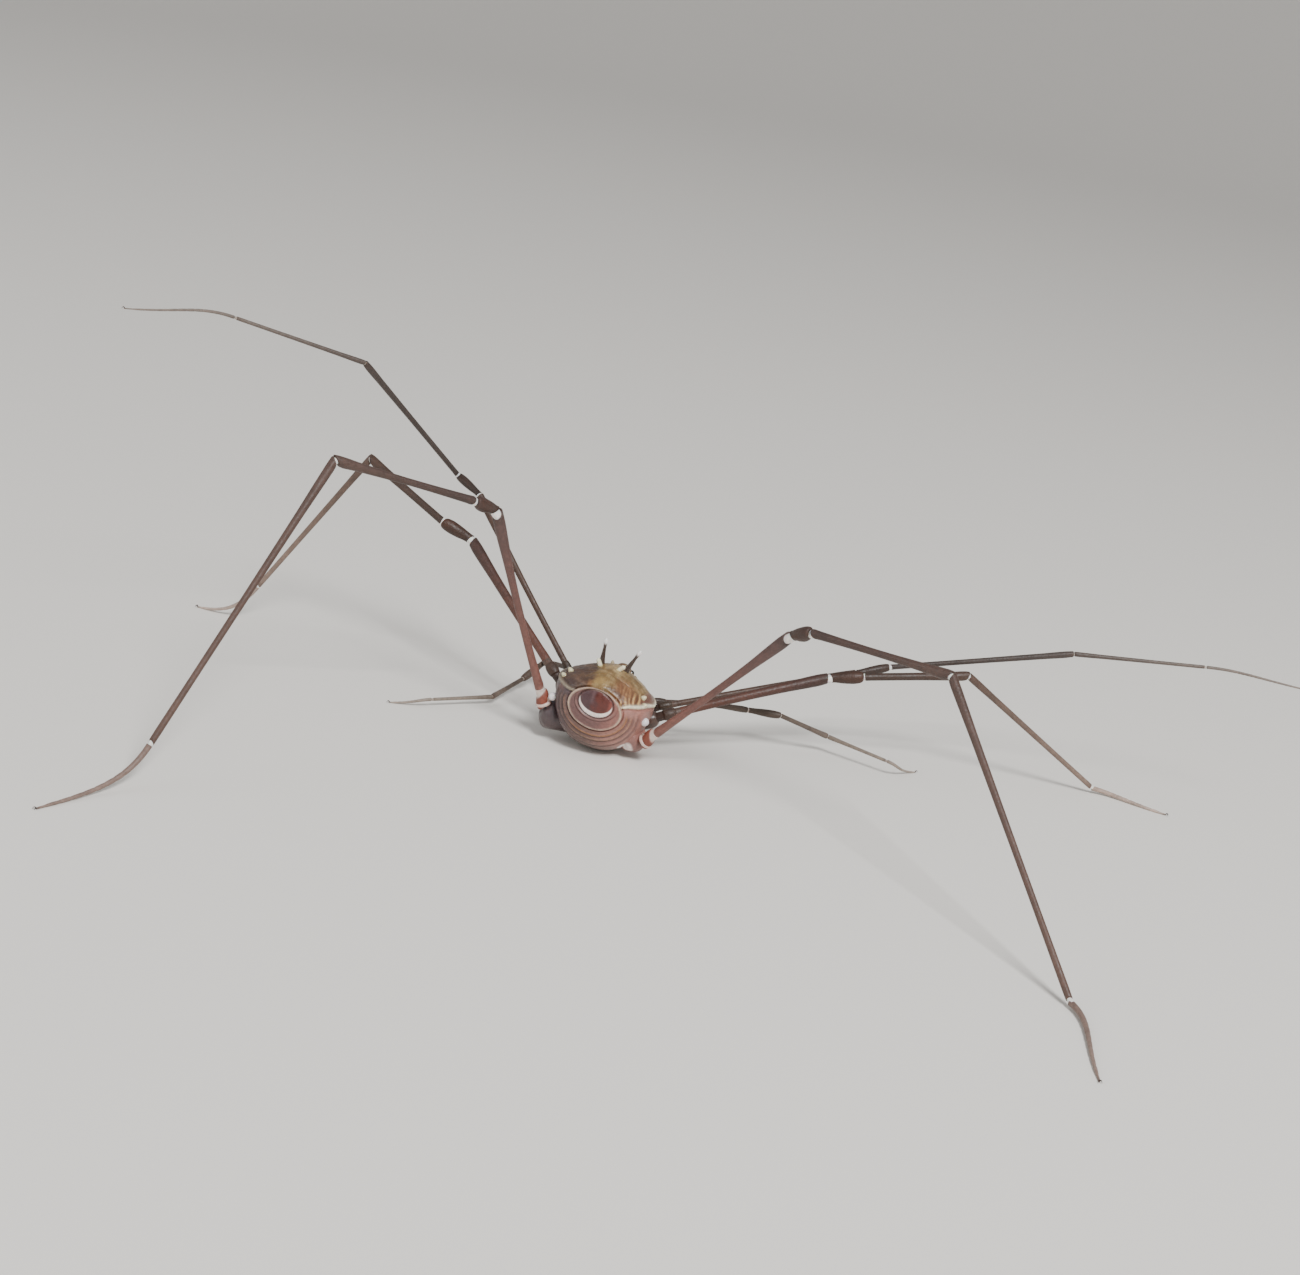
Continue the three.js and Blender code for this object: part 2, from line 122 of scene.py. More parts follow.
def ramp(value, start, end):
    """0 before start, 1 after end, and 3t^2 - 2t^3 between them."""
    t = np.clip((value - start) / (end - start), 0, 1)
    return t * t * (3 - 2 * t)


def ripple(points, size, seed):
    """Smooth noise from about -1 to 1: 1.6 times the mean of six sine waves, each about size mm long, in
    seeded directions, which are normal draws divided by their usual length of 1.7."""
    rng = np.random.default_rng(seed)
    waves = rng.normal(size=(6, 3)) * 2 * np.pi / size / 1.7
    return np.sin(points @ waves.T + rng.uniform(0, 2 * np.pi, 6)).mean(-1) * 1.6


def linear(colour):
    """An sRGB hex colour as linear numbers: v / 12.92 up to 0.04045, else ((v + 0.055) / 1.055)^2.4."""
    value = np.array([int(colour[i : i + 2], 16) for i in (1, 3, 5)]) / 255
    return np.where(value <= 0.04045, value / 12.92, ((value + 0.055) / 1.055) ** 2.4)


def lay(under, over, mask):
    """Lays one tint over another where mask is 1: under + (over - under) * mask."""
    return under + (over - under) * np.clip(mask, 0, 1)[..., None]


def paint(tint, *coats):
    """Lays coats over a tint, one after another, each of them a hex colour and its mask."""
    for colour, mask in coats:
        tint = lay(tint, linear(colour), mask)
    return tint


def closed_tube(grid, tint):
    """Closes rings of points, which run counter-clockwise seen from the far end: quads between the rings,
    and a fan of triangles to the middle of the first and of the last ring."""
    rings, sides = grid.shape[:2]
    tint = np.broadcast_to(tint, grid.shape)
    poles = [grid[0].mean(0), grid[-1].mean(0)]
    verts = np.vstack([grid.reshape(-1, 3), poles])
    tints = np.vstack([tint.reshape(-1, 3), tint[0].mean(0), tint[-1].mean(0)])
    a = np.arange(rings * sides).reshape(rings, sides)
    b = np.roll(a, -1, 1)
    quads = np.stack([a[:-1], b[:-1], b[1:], a[1:]], -1).reshape(-1, 4)
    first, last = np.full(sides, rings * sides), np.full(sides, rings * sides + 1)
    fans = np.vstack([np.stack([first, b[0], a[0]], -1), np.stack([last, a[-1], b[-1]], -1)])
    return verts, quads, fans, tints


def make_piece(name, tubes, material, slot, *nodes):
    """Puts closed tubes into one mesh whose colours are in its attribute tint, and hands it to the frame."""
    faces, verts, tints, count = [], [], [], 0
    for points, quads, fans, colours in tubes:
        faces += (quads + count).tolist() + (fans + count).tolist()
        verts.append(points)
        tints.append(colours)
        count += len(points)
    mesh = bpy.data.meshes.new(name)
    mesh.from_pydata(np.vstack(verts).tolist(), [], faces)
    rgba = np.hstack([np.vstack(tints), np.ones((count, 1))])
    mesh.attributes.new("tint", "FLOAT_COLOR", "POINT").data.foreach_set("color", rgba.ravel())
    mesh.shade_smooth()
    mesh.materials.append(material)
    piece = bpy.data.objects.new(name, mesh)
    bpy.context.scene.collection.objects.link(piece)
    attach(piece, "root")
    if nodes:
        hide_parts(*nodes)


def add(tree, kind, links=None, **settings):
    """Adds one shader node, sets its properties or input values, and links its inputs."""
    node = tree.nodes.new(kind)
    for key, value in settings.items():
        if hasattr(node, key):
            setattr(node, key, value)
        else:
            node.inputs[key.replace("_", " ")].default_value = value
    for key, source in (links or {}).items():
        tree.links.new(source, node.inputs[key])
    return node


CHITIN_IOR = 1.54
GLOW_MM = 0.35  # how far light travels in the flesh
GLOW_SHARES = (1.0, 0.45, 0.3)  # what share of that red, green and blue light do
SPECKLE_GRAINS = 1.6  # size of the speckles, in granules
WAX_ROUGHNESS = 0.2


def cuticle(name, roughness, speckle, grain_mm, relief_mm, depth, coat):
    """Arthropod cuticle over flesh: tint gives the colour and fine speckles break it up. Small rounded
    granules catch the light, depth lets a little light through, and coat is the wax on its surface."""
    material = bpy.data.materials.new(name)
    material.use_nodes = True
    tree = material.node_tree
    tree.nodes.clear()
    place = add(tree, "ShaderNodeTexCoord").outputs["Object"]
    tint = add(tree, "ShaderNodeAttribute", attribute_name="tint").outputs["Color"]
    fine = add(tree, "ShaderNodeTexNoise", {"Vector": place}, Detail=5.0, Roughness=0.62,
               Scale=1 / (SPECKLE_GRAINS * grain_mm * MM))
    shade = add(tree, "ShaderNodeMapRange", {"Value": fine.outputs["Fac"]}, From_Min=0.3, From_Max=0.7,
                To_Min=1 - speckle, To_Max=1 + speckle)
    colour = add(tree, "ShaderNodeVectorMath", {0: tint, 1: shade.outputs["Result"]}, operation="MULTIPLY")
    granules = add(tree, "ShaderNodeTexVoronoi", {"Vector": place}, feature="SMOOTH_F1",
                   Scale=1 / (grain_mm * MM))
    height = add(tree, "ShaderNodeMapRange", {"Value": granules.outputs["Distance"]}, From_Min=0.0,
                 From_Max=0.6, To_Min=1.0, To_Max=0.0)
    wear = add(tree, "ShaderNodeMapRange", {"Value": fine.outputs["Fac"]}, From_Min=0.3, From_Max=0.7,
               To_Min=roughness * 0.8, To_Max=roughness * 1.25)
    bump = add(tree, "ShaderNodeBump", {"Height": height.outputs["Result"]}, Strength=0.5,
               Distance=relief_mm * MM)
    skin = add(tree, "ShaderNodeBsdfPrincipled",
               {"Base Color": colour.outputs["Vector"], "Roughness": wear.outputs["Result"],
                "Normal": bump.outputs["Normal"]},
               IOR=CHITIN_IOR, Subsurface_Weight=depth, Subsurface_Radius=GLOW_SHARES,
               Subsurface_Scale=GLOW_MM * MM, Coat_Weight=coat, Coat_Roughness=WAX_ROUGHNESS)
    add(tree, "ShaderNodeOutputMaterial", {"Surface": skin.outputs["BSDF"]})
    return material


# Waxy, finely granulated shell cuticle: broad soft highlights with small broken glints
shell_cuticle = cuticle("shell_cuticle", 0.42, 0.2, 0.16, 0.035, depth=0.12, coat=0.18)

shares = np.concatenate([np.linspace(*REAR_RINGS), np.linspace(*FRONT_RINGS)])
turns = np.linspace(0, 2 * np.pi, BODY_SIDES, endpoint=False)
trunk = trunk_grid(shares, turns)
x, y, z = np.moveaxis(trunk, -1, 0)

# Ellipses seen from behind: height of the middle, half width and half height, in mm
VENT_RING = (3.89, 2.05, 1.53)
VENT_LID = (4.32, 1.25, 0.95)
LID_INSIDE = (4.53, 1.21, 0.82)  # what the painted white highlight along the lid's lower rim leaves of the lid
BELLY_BOWS = [(3.85, 2.4, 1.95), (3.78, 2.68, 2.25), (3.7, 2.95, 2.62)]
# Lines of relief: place and width, in shares of an ellipse or in mm from a line, and height in mm
LID_LINES = [(1.08, 0.05, -0.1), (1.2, 0.06, 0.04), (1.32, 0.04, -0.05)]
RING_LINES = [(0.97, 0.045, 0.08), (1.045, 0.03, -0.13)]
BOW_LINES = [(1.0, 0.03, 0.08), (1.055, 0.025, -0.06)]
MARGIN_LINES = [(0.13, 0.1, 0.1), (-0.07, 0.05, -0.1), (0.33, 0.08, -0.03)]
SEAM_LINES = [(0.0, 0.07, -0.05), (-0.16, 0.08, 0.02)]
SEAMS_AT = (1.45, 0.1, -1.3, -2.6)  # where the seams between the plates cross the back, along Y
SEAM_BOW = 0.05
LID_RISE = 0.12
RELIEF_RANGE = (-0.2, 0.12)


def level(middle, wide, high):
    """Distance of the trunk's points to the middle of an ellipse as a share of its size, 1 on its line."""
    return np.hypot(x / wide, (z - middle) / high)


# Masks of the rear, of what is outside the vent, of the back and of what is below it, and the height over
# the margin, which rises at the right rear
rear = ramp(-y, 1.6, 2.6)
lid = level(*VENT_LID)
ring = level(*VENT_RING)
edge = z - SHIELD_EDGE - 0.22 * ramp(x, 1.6, 2.4) * ramp(-y, 1.0, 2.4)
outside = ramp(ring, 1.0, 1.06) * rear + (1 - rear)
on_back = ramp(edge, -0.04, 0.04) * outside
lower = ramp(-z, -4.3, -3.8)

lift = LID_RISE * np.clip(1 - lid**2, 0, 1) * rear
lift += relief(lid, LID_LINES) * rear
lift += relief(ring, RING_LINES) * rear
for bow in BELLY_BOWS:
    lift += relief(level(*bow), BOW_LINES) * rear * lower
lift += relief(edge, MARGIN_LINES) * outside
for seam in SEAMS_AT:
    lift += relief(y - seam - SEAM_BOW * x**2, SEAM_LINES) * ramp(edge, 0.45, 1.0)
lift += 0.02 * ripple(trunk, 0.8, 3) * on_back * ramp(edge, 0.3, 0.8)
lift += 0.015 * ripple(trunk, 1.2, 4) * (1 - on_back)
trunk = trunk + outward(trunk) * np.clip(lift, *RELIEF_RANGE)[..., None]

# Belly: mauve and darker with painted shade on the left, dusty pink and lighter with painted light on the
# right, greyer with painted shade underneath, with golden and brown lines round the vent
BOW_COLOURS = [("#95663a", 0.9), ("#8d7050", 0.5), ("#7a6254", 0.25)]  # and how strong they are
SPOT_AT = (2.6, 1.42)  # the white crescent low on each side: place across and up, half length and width
SPOT_SIZE = (0.62, 0.2)

tint = paint(
    linear("#6a4f49"),
    ("#a8766b", ramp(x, -0.6, 2.4)),  # dusty pink, lighter on the right as painted light
    ("#524044", ramp(-x, 0.9, 2.6)),  # mauve, darker on the left as painted shade
    ("#60504b", ramp(-z, -1.7, -0.4) * 0.8),  # grey painted shade underneath
    ("#7a5a4f", 0.35 * ripple(trunk, 2.2, 5)),  # broad tan clouds
    ("#a07a72", 0.25 * ripple(trunk, 0.55, 6)),  # fine pink mottling
)
for bow, (colour, strength) in zip(BELLY_BOWS, BOW_COLOURS):
    band = level(*bow)
    right_share = 0.3 + 0.7 * ramp(x, -1.9, -0.6)
    tint = paint(
        tint,
        ("#4a3733", 0.6 * ridge(band - 1.065, 0.03) * rear * lower),  # dark groove
        (colour, strength * ridge(band - 1.0, 0.028) * rear * lower * right_share),  # golden ridge
    )
tint = paint(tint, ("#7d5a45", 0.5 * ridge(ring - 1.13, 0.035) * rear * lower))
for side in (-1, 1):
    over, upward = side * x - SPOT_AT[0], z - SPOT_AT[1]
    along, beside = 0.8 * over + 0.6 * upward, 0.8 * upward - 0.6 * over
    spot = np.hypot(along / SPOT_SIZE[0], (beside + 0.25 * along**2) / SPOT_SIZE[1])
    tint = paint(tint, ("#fbf2ee", ramp(-spot - 3 * ramp(y, -1.2, -0.9), -1.15, -0.8)))

# Shield: purple-brown and darker with painted shade on the left, with a golden patch that is streaked along
# its right slope
STREAK_SPACING = 0.55
KNOB_STAIN = (-0.87, 5.5)  # the rusty stain by the left cream knob: place across and up

gold = ramp(x + 0.3 * ripple(trunk, 1.0, 7) + 0.12 * ripple(trunk, 0.35, 11), -1.15, -0.45)
rust = gold * ramp(x, 0.4, 1.3) * ramp(-y, 1.6, 3.0)
fringe = gold * ramp(x, 0.9, 1.6) * ramp(-y, 1.2, 2.2) * ramp(-edge, -0.95, -0.45)
slant = 2 * x + z
fibre = np.stack([slant, 0.3 * (x - 2 * z), 0.3 * y], -1)
streaks = np.sin(2 * np.pi * slant / STREAK_SPACING + 1.1 * ripple(trunk, 0.9, 10))
streaks = streaks + 0.5 * ripple(fibre, 0.3, 16)
stain = np.hypot(x - KNOB_STAIN[0], z - KNOB_STAIN[1])
on_right = 0.25 + 0.75 * ramp(x, -0.6, 1.2) * ramp(-y, -1.0, 1.0)
back = paint(
    linear("#463329"),
    ("#493735", ramp(-x, 1.2, 2.6) * 0.7),  # purple, darker on the left side as painted shade
    ("#5e4431", 0.35 + 0.5 * ripple(trunk, 1.1, 8)),  # brown clouds
    ("#7d6238", gold * 0.9),  # golden patch and its pale flecks
    ("#b3986d", gold * (0.25 + 0.45 * ripple(trunk, 0.8, 9) + 0.35 * ripple(fibre, 0.55, 14))),
    ("#75482f", rust * 0.8),  # rusty slope and its tan flecks
    ("#a97c50", rust * (0.1 + 0.7 * ripple(fibre, 0.42, 15))),
    ("#4d2a15", fringe * ramp(-streaks, 0.1, 1.0) * 0.75),  # dark and pale streaks over the margin
    ("#d9b478", fringe * ramp(streaks, 0.3, 1.0) * 0.75),
    ("#b8975c", gold * ridge(ring - 1.3, 0.14) * ramp(-x, -0.7, 0.1) * 0.5 * rear),  # golden rim of the vent
    ("#4a2a15", 0.75 * ridge(ring - 1.2, 0.06) * rear * ramp(x, 0.25, 0.6) * ramp(-x, -1.9, -1.4)),
    ("#6d5343", 0.8 * ridge(edge - 0.85, 0.1) * ramp(-y, 2.6, 3.4) * ramp(-x, 0.6, 1.2)),  # line at the left
    ("#7c5230", 0.7 * ridge(stain, 0.22) * rear),
    ("#6b4238", ramp(x + 0.2 * z, 3.75, 4.0) * 0.85),  # red right side
    ("#3d2b23", 0.6 * ridge(edge - 0.36, 0.06) * ramp(-x, -0.4, 0.2)),  # shade over the margin
    ("#f3ecd0", 0.95 * ridge(edge - 0.12, 0.11) * on_right),  # cream margin
)
tint = lay(tint, back, on_back)

# Vent: pale rings, a lid that is dark purple on the left and red on the right, and a painted white highlight
# along its lower rim
in_ring = ramp(-ring, -1.02, -0.98) * rear
on_lid = ramp(-lid, -1.04, -0.99) * rear
flesh = ramp(-level(*LID_INSIDE), -1.03, -0.96) * on_lid
tint = paint(
    tint,
    ("#6b4a47", in_ring),
    ("#9a665c", in_ring * ramp(x, 0.2, 1.6) * 0.8),
    ("#8f6c66", ridge(lid - 1.2, 0.06) * rear * lower),
    ("#563c3a", 0.7 * ridge(lid - 1.33, 0.035) * rear * lower),
    ("#c7ae98", ridge(ring - 0.965, 0.04) * rear * (0.95 - 0.4 * ramp(-z, -3.9, -2.9))),  # pale outer ring
    ("#4a3331", 0.6 * ridge(ring - 1.05, 0.028) * rear * lower),
    ("#432c2b", 0.85 * ridge(lid - 1.085, 0.04) * rear),  # dark groove round the lid
    ("#4a2f33", on_lid),
    ("#fff0e8", (on_lid - flesh) * ramp(-z, -4.75, -4.25)),  # painted white highlight along the lid's lower rim
    ("#5a241b", flesh * ramp(x + 0.3 * ripple(trunk, 0.9, 13), -0.35, 0.3)),  # red of the lid
    ("#8f4a3f", flesh * ramp(x, 0.85, 1.15) * 0.8),
    ("#6a5052", flesh * ridge(x + 0.3, 0.13) * ramp(z, 4.2, 4.6) * 0.5),  # grey line up its middle
)

trunk_nodes = ("back_shield", "belly", "vent_ring", "vent_lid")
make_piece("trunk_shell", [closed_tube(settle(trunk), tint)], shell_cuticle, "back_shield", *trunk_nodes)

# Coxae
# The first piece of each leg is fused to the belly. The hind pair is swollen, mauve and darker with painted
# shade on the left, dusty pink on the right, paler on top with painted light and darker below with painted
# shade, and has white patches.
# They're the same hard cuticle.
# For each pair, on the right: where it leaves the belly, where it ends, its slim and its stout radius
COXAE = {
    1: ((0.55, 2.3, 1.6), (2.55, 2.5, 3.3), 0.38, 0.46),
    2: ((0.6, 1.35, 1.05), (3.3, 1.3, 3.5), 0.42, 0.52),
    3: ((0.65, 0.35, 0.85), (4.0, -0.1, 3.55), 0.46, 0.66),
    4: ((0.95, -0.7, 0.95), (4.2, -2.4, 2.95), 0.72, 1.2),
}
# Where the hind shells really end on the left and right, and how stout they are
HIND_COXAE = {-1: ((-4.1, -2.3, 1.55), 1.05), 1: ((3.62, -2.09, 2.29), 1.0)}
# Share of a coxa's length, and how much of its slim and of its stout radius it has there
COXA_SHAPE = np.array([
    [0.0, 0.6, 0.0],
    [0.1, 1.0, 0.0],
    [0.45, 0.5, 0.5],
    [0.7, 0.0, 1.0],
    [0.85, 0.0, 1.0],
    [1.0, 0.0, 0.62],
])
# Colours on the left and right; the hind pair's left is mauve and darker with painted shade
COXA_COLOURS = {
    1: ("#463329", "#463329"),
    2: ("#402e28", "#402e28"),
    3: ("#4b372f", "#4b372f"),
    4: ("#4c3f42", "#8d625a"),
}
# Painted light: paler colours for the tops of the hind coxae, on the left and right
HIND_PAINTED_LIGHT_TOPS = {-1: "#5f4a4d", 1: "#a8766b"}
WHITE_PATCHES = [(-3.6, -2.9, 2.4, 0.26), (2.8, -2.5, 1.42, 0.32)]  # place and radius in mm


def limb_rings(path, radii, sides):
    """Rings of the radii about a path's points, each square to the path: the point plus the radius times
    N cos + B sin, where T is the path's direction, N a fixed side line without its T part, and B is T x N."""
    along = np.gradient(path, axis=0)
    along /= np.linalg.norm(along, axis=1, keepdims=True)
    side = np.eye(3)[np.argmin(np.abs(path[-1] - path[0]))]
    n = side - along * (along @ side)[:, None]
    n /= np.linalg.norm(n, axis=1, keepdims=True)
    b = np.cross(along, n)
    turn = np.linspace(0, 2 * np.pi, sides, endpoint=False)
    ring = np.cos(turn)[None, :, None] * n[:, None] + np.sin(turn)[None, :, None] * b[:, None]
    return path[:, None] + np.asarray(radii)[:, None, None] * ring


def profile(table, shares):
    """Radii at shares of a limb's length, from rows of share and radius, smooth between the rows."""
    table = np.asarray(table, float)
    place = np.interp(shares, table[:, 0], np.arange(len(table)))
    return rows_at(table[:, 1:], place)[..., 0]


def capped(start, end, count):
    """Shares from start to end that lie close together at both ends: start + (end - start)(1 - cos) / 2."""
    return start + (end - start) * (1 - np.cos(np.linspace(0, np.pi, count))) / 2


def coxa_tube(pair, side):
    """A round-ended tube from the belly to the hip: its radius follows COXA_SHAPE, times the square root of
    1 - (2 share - 1)^20, and a ripple of 0.03 mm."""
    inner, hip, slim, stout = COXAE[pair]
    start, end = np.array(inner) * (side, 1, 1), np.array(hip) * (side, 1, 1)
    if pair == 4:
        end, stout = HIND_COXAE[side]
    share = capped(0, 1, 60)
    stations = np.column_stack([COXA_SHAPE[:, 0], COXA_SHAPE[:, 1:] @ (slim, stout)])
    radii = profile(stations, share) * np.sqrt(np.clip(1 - (2 * share - 1) ** 20, 0.03, 1))
    rings = limb_rings(start + (end - start) * share[:, None], radii, 64)
    rings = rings + outward(rings) * 0.03 * ripple(rings, 0.8, 20 + pair)[..., None]
    left, right = COXA_COLOURS[pair]
    tints = paint(linear(left if side < 0 else right), ("#4b3a36", 0.3 * ripple(rings, 1.1, 30 + pair)))
    if pair == 4:
        height = rings[..., 2]
        # Painted light on the tops of the hind coxae, and painted shade below them
        tints = paint(tints, (HIND_PAINTED_LIGHT_TOPS[side], 0.6 * ramp(height, 1.6, 3.2)))
        tints = paint(tints, ("#4f3a38", 0.6 * ramp(-height, -1.6, -0.6)))
        for *place, radius in WHITE_PATCHES:
            far = np.linalg.norm(rings - place, axis=-1) + 0.12 * ripple(rings, 0.5, 71)
            tints = paint(tints, ("#f0e2dd", 0.9 * ramp(-far, -1.5 * radius, -radius)))
    return closed_tube(settle(rings), tints)


coxae = [coxa_tube(pair, side) for pair in COXAE for side in (-1, 1)]
coxa_nodes = [f"coxa_{side}_{pair}" for pair in COXAE for side in ("left", "right")]
make_piece("coxae_shell", coxae, shell_cuticle, "coxae", *coxa_nodes)

# Spines and knobs of the back
# A pair of long dark spines with white tips stands on the back, with a pair of cream knobs behind it and
# smaller pale ones at the sides, and a pearly knob on each hind coxa. They're solid, fused to the shell.
PEARLS = [(-3.5, -2.6, 3.05), (3.5, -2.4, 3.68)]
PEARL_RADIUS = 0.31
LONG_SPINE = 1.0  # a spine longer than this has a waist below its tip
WAIST_SHARE = 0.7
# Places across on the left and right, place along, length, radius at root and tip, leans out on the left and
# right and lean forward in degrees, share from which it's pale, and colours of root and tip
BACK_SPINES = [
    ((1.1, 0.78), -0.8, 1.9, (0.24, 0.155), (8, 18), 12, 0.7, ("#3b291d", "#f6f1ee")),
    ((0.98, 0.42), -1.6, 0.6, (0.17, 0.165), (35, 38), 0, 0.0, ("#d3c590", "#f3edcc")),
    ((0.6, 0.4), 0.7, 0.35, (0.2, 0.12), (10, 10), 0, 0.3, ("#5f4838", "#b5a583")),
    ((2.83, 2.83), -2.15, 0.3, (0.21, 0.15), (45, 45), 0, 0.0, ("#b3a67f", "#ddd3ac")),
    ((3.14, 3.14), -2.55, 0.25, (0.19, 0.14), (55, 55), 0, 0.0, ("#b3a67f", "#ddd3ac")),
]


def back_height(across, along):
    """Height of the back at a place seen from above: the shield's edge plus the rise of the section there,
    times (1 - (across / half width)^p)^(1/p)."""
    place = np.interp(along, BODY_SECTIONS[:, 0], np.arange(len(BODY_SECTIONS)))
    rows = rows_at(BODY_SECTIONS, np.linspace(place - 1, place + 1, 400))
    _, wide, top, _ = rows[np.argmin(np.abs(rows[:, 0] - along))]
    share = (1 - min(abs(across) / wide, 1) ** BACK_POWER) ** (1 / BACK_POWER)
    return SHIELD_EDGE + (top - SHIELD_EDGE) * share


def spine_tube(foot, way, length, root, tip, pale_from, root_colour, tip_colour):
    """A round-tipped peg from below the back to its end: its radius runs from root over a waist to tip,
    times the square root of the distance to the end divided by tip."""
    share = capped(-root / length, 1, 40)
    waist = min(root, tip) * (WAIST_SHARE if length > LONG_SPINE else 1.0)
    stations = [-root / length, 0.0, 0.25, 0.62, 0.85, 1.0]
    radii = np.interp(share, stations, [root * 1.1, root, (root + waist) / 2, waist, tip, tip * 0.8])
    radii = radii * np.sqrt(np.clip((1 - share) * length / tip, 0.03, 1))
    rings = limb_rings(foot + way * length * share[:, None], radii, 22)
    tints = paint(linear(root_colour), (tip_colour, ramp(share, pale_from, pale_from + 0.14)[:, None]))
    return closed_tube(settle(rings), tints)


def ball(centre, size, colour, rings=24, sides=32):
    """A closed ellipsoid about a body point: centre + size * (r cos, r sin, h), where r is sqrt(1 - h^2)."""
    h = -np.cos(np.linspace(0.04, np.pi - 0.04, rings))[:, None]
    turn = np.linspace(0, 2 * np.pi, sides, endpoint=False)
    flat = np.sqrt(1 - h**2)
    grid = np.stack([flat * np.cos(turn), flat * np.sin(turn), h + 0 * turn], -1)
    return closed_tube(settle(np.asarray(centre) + np.asarray(size) * grid), linear(colour))


# Solid, waxy cuticle, smoother than the shell: a narrow highlight runs up each spine
spine_cuticle = cuticle("spine_cuticle", 0.3, 0.08, 0.12, 0.01, depth=0.15, coat=0.4)

spines = []
for places, at, length, thick, leans, forward, pale_from, colours in BACK_SPINES:
    for side, across, lean in zip((-1, 1), places, leans):
        out, fore = np.radians([lean, forward])
        way = np.array([side * np.sin(out), np.cos(out) * np.sin(fore), np.cos(out) * np.cos(fore)])
        foot = np.array([side * across, at, back_height(across, at)])
        spines.append(spine_tube(foot, way, length, *thick, pale_from, *colours))
spines += [ball(pearl, PEARL_RADIUS, "#f4eef0") for pearl in PEARLS]
make_piece("back_spines", spines, spine_cuticle, "spines")

# Eye mound and eyes
# A low mound of the shield carries one black bead of an eye on each side, clear and very glossy.
# Each is sunk into it by almost half.
MOUND_AT = np.array([0.0, 2.35, back_height(0, 2.35)])
MOUND_LIFT = np.array([0.0, 0.0, 0.1])
MOUND_SIZE = np.array([0.62, 0.42, 0.5])
EYE_RADIUS = 0.26
EYE_OFFSET = np.array([0.58, 0.18, -0.02])

mound = ball(MOUND_AT + MOUND_LIFT, MOUND_SIZE, "#6f5640", 32, 48)
make_piece("eye_mound_shell", [mound], shell_cuticle, "back_shield", "eye_mound")

# Clear lens cuticle over dark pigment: a wet, sharp highlight
eye_lens = cuticle("eye_lens", 0.06, 0.02, 0.2, 0.001, depth=0.0, coat=1.0)
eyes = [ball(MOUND_AT + EYE_OFFSET * (side, 1, 1), EYE_RADIUS, "#0d0a09") for side in (-1, 1)]
make_piece("eye_beads", eyes, eye_lens, "eye", "eye_left", "eye_right")

# Legs
# Each leg is a row of hard tubes: trochanter, femur, patella, tibia, metatarsus and tarsus with its claws.
# Their ends are cut aslant and almost meet outside each bend, and soft white skin bulges out inside it.
# All sizes are in mm, and the hips lie at the ends of COXAE, mirrored for the left.
HIP_GAP = 0.4
SOCKET_DEPTH = 0.3
JOINT_GAP = 0.3
# From joint to joint: trochanter with femur, patella, tibia, metatarsus and tarsus
LEG_LENGTHS = {
    1: (7.5, 2.5, 4.4, 4.9, 3.5),
    2: (15.2, 2.7, 13.8, 9.8, 8.6),
    3: (12.8, 2.6, 8.0, 14.2, 6.3),
    4: (14.0, 2.6, 11.0, 22.3, 9.5),
}
# Radii of femur, patella, tibia, metatarsus and tarsus
LEG_RADII = {
    1: (0.23, 0.3, 0.2, 0.16, 0.13),
    2: (0.28, 0.33, 0.23, 0.17, 0.12),
    3: (0.4, 0.5, 0.33, 0.25, 0.19),
    4: (0.42, 0.52, 0.36, 0.3, 0.21),
}
# Colours from root to end of each of these segments
LEG_COLOURS = {
    1: (("#43332a", "#4f4036"), ("#453629", "#4d3d33"), ("#584a40", "#6a5c52"),
        ("#75685d", "#877a6e"), ("#8b7e73", "#a09388")),
    2: (("#4a3327", "#422d22"), ("#2e1f18", "#38261d"), ("#3b2f2a", "#403530"),
        ("#4a3e38", "#665a52"), ("#6b5f57", "#82766d")),
    3: (("#5b3427", "#38211a"), ("#342015", "#402416"), ("#36251c", "#473227"),
        ("#544036", "#857064"), ("#a08b7f", "#b5a398")),
    4: (("#7c5046", "#4f3b37"), ("#3c261d", "#412b23"), ("#3f2d27", "#4f3a32"),
        ("#4c372f", "#5c443a"), ("#755f56", "#8c776d")),
}
# Hips: the trochanter's radius as a share of the femur's, how far it reaches back past the joint, and the
# colours of the trochanter, of the neck before it and of the skin after it
HIPS = {
    1: (1.12, 0.12, "#3b2a20", "#3f2e27", "#4f3b31"),
    2: (1.12, 0.12, "#382719", "#3f2e27", "#4f3b31"),
    3: (1.12, 0.12, "#3f2b20", "#3f2e27", "#4f3b31"),
    4: (1.25, 1.25, "#7f4232", "#cfb3a8", "#e2cfc5"),
}
# Bare skin inside the bends from femur to tarsus: what each segment is cut back there
BARE_SKIN = {
    1: (-0.06, -0.06, -0.08, -0.08),
    2: (-0.03, -0.02, -0.07, -0.08),
    3: (0.05, 0.05, 0.0, -0.04),
    4: (0.34, 0.26, 0.04, -0.02),
}
WHITE_JOINTS = {1: 0, 2: 2, 3: 4, 4: 4}  # how many joints, from the femur on, have white skin and not grey
